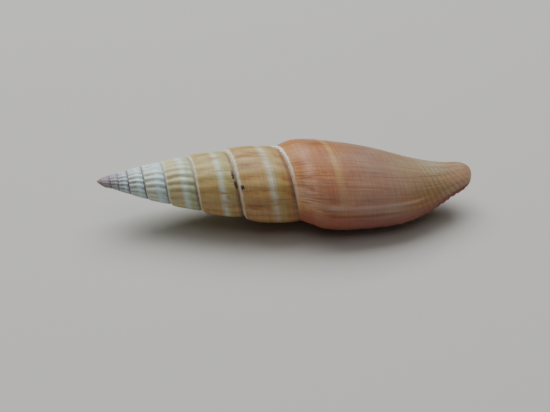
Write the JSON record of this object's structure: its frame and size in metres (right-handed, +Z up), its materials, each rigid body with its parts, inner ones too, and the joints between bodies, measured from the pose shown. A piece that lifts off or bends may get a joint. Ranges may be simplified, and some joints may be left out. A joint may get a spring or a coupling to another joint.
{
  "type": "sea snail shell",
  "caption": "Slender spindle-shaped sea snail shell with a ribbed pointed spire, a smooth orange last whorl and a narrow mouth; lies mouth down as an ornament.",
  "frame": {"origin": "bottom centre of the bounding box, on the surface that the shell lies on", "axes": "+X runs along the shell from the tip of the spire to the front canal, +Z is up, and the mouth faces down towards -Y"},
  "size_m": [0.0696, 0.0166, 0.0156],
  "materials": {
    "shell_glaze": "satin, orange to salmon with cream bands and a bluish-grey tip"
  },
  "bodies": {
    "root": {"shell": "shell_glaze"}
  },
  "joints": []
}
